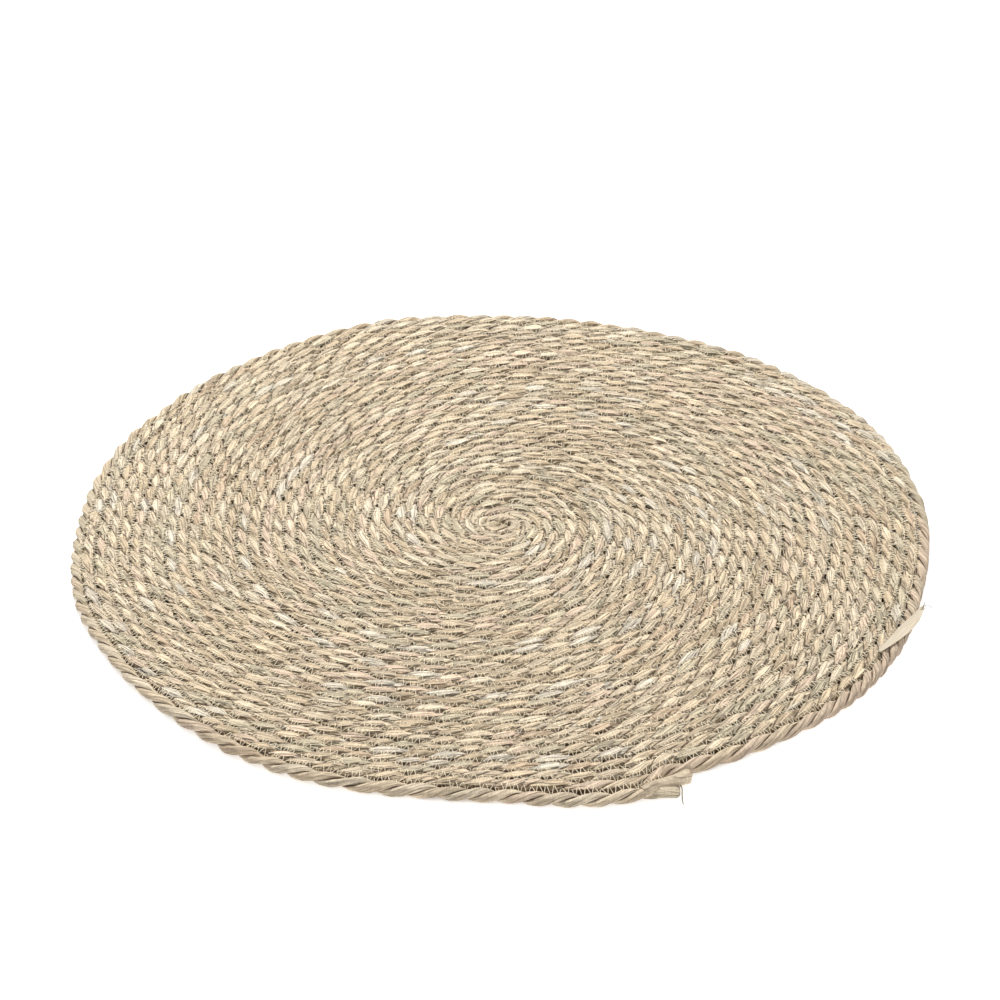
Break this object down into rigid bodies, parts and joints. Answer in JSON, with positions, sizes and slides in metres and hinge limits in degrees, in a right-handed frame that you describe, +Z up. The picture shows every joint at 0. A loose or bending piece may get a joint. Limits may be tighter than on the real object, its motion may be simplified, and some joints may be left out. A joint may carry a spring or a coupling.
{
  "type": "round cat scratching mat of coiled seagrass rope",
  "caption": "Flat round scratching mat wound from one twisted seagrass rope, its turns zigzag sewn side by side, with the rope's cut end showing at the rim.",
  "frame": {"origin": "middle of the coil, on the underside", "axes": "+Z up out of the mat's upper side; -Y towards the side where the rope's cut end shows at the rim; the rope winds outwards counter-clockwise seen from +Z"},
  "size_m": [0.5979, 0.6042, 0.0112],
  "materials": {
    "seagrass_rope": "matt, slightly waxy dried leaf",
    "pale_leaf": "matt dried leaf",
    "sewing_thread": "soft matt"
  },
  "bodies": {
    "root": {"coiled_rope": "seagrass_rope", "loose_leaf": "pale_leaf"}
  },
  "joints": []
}
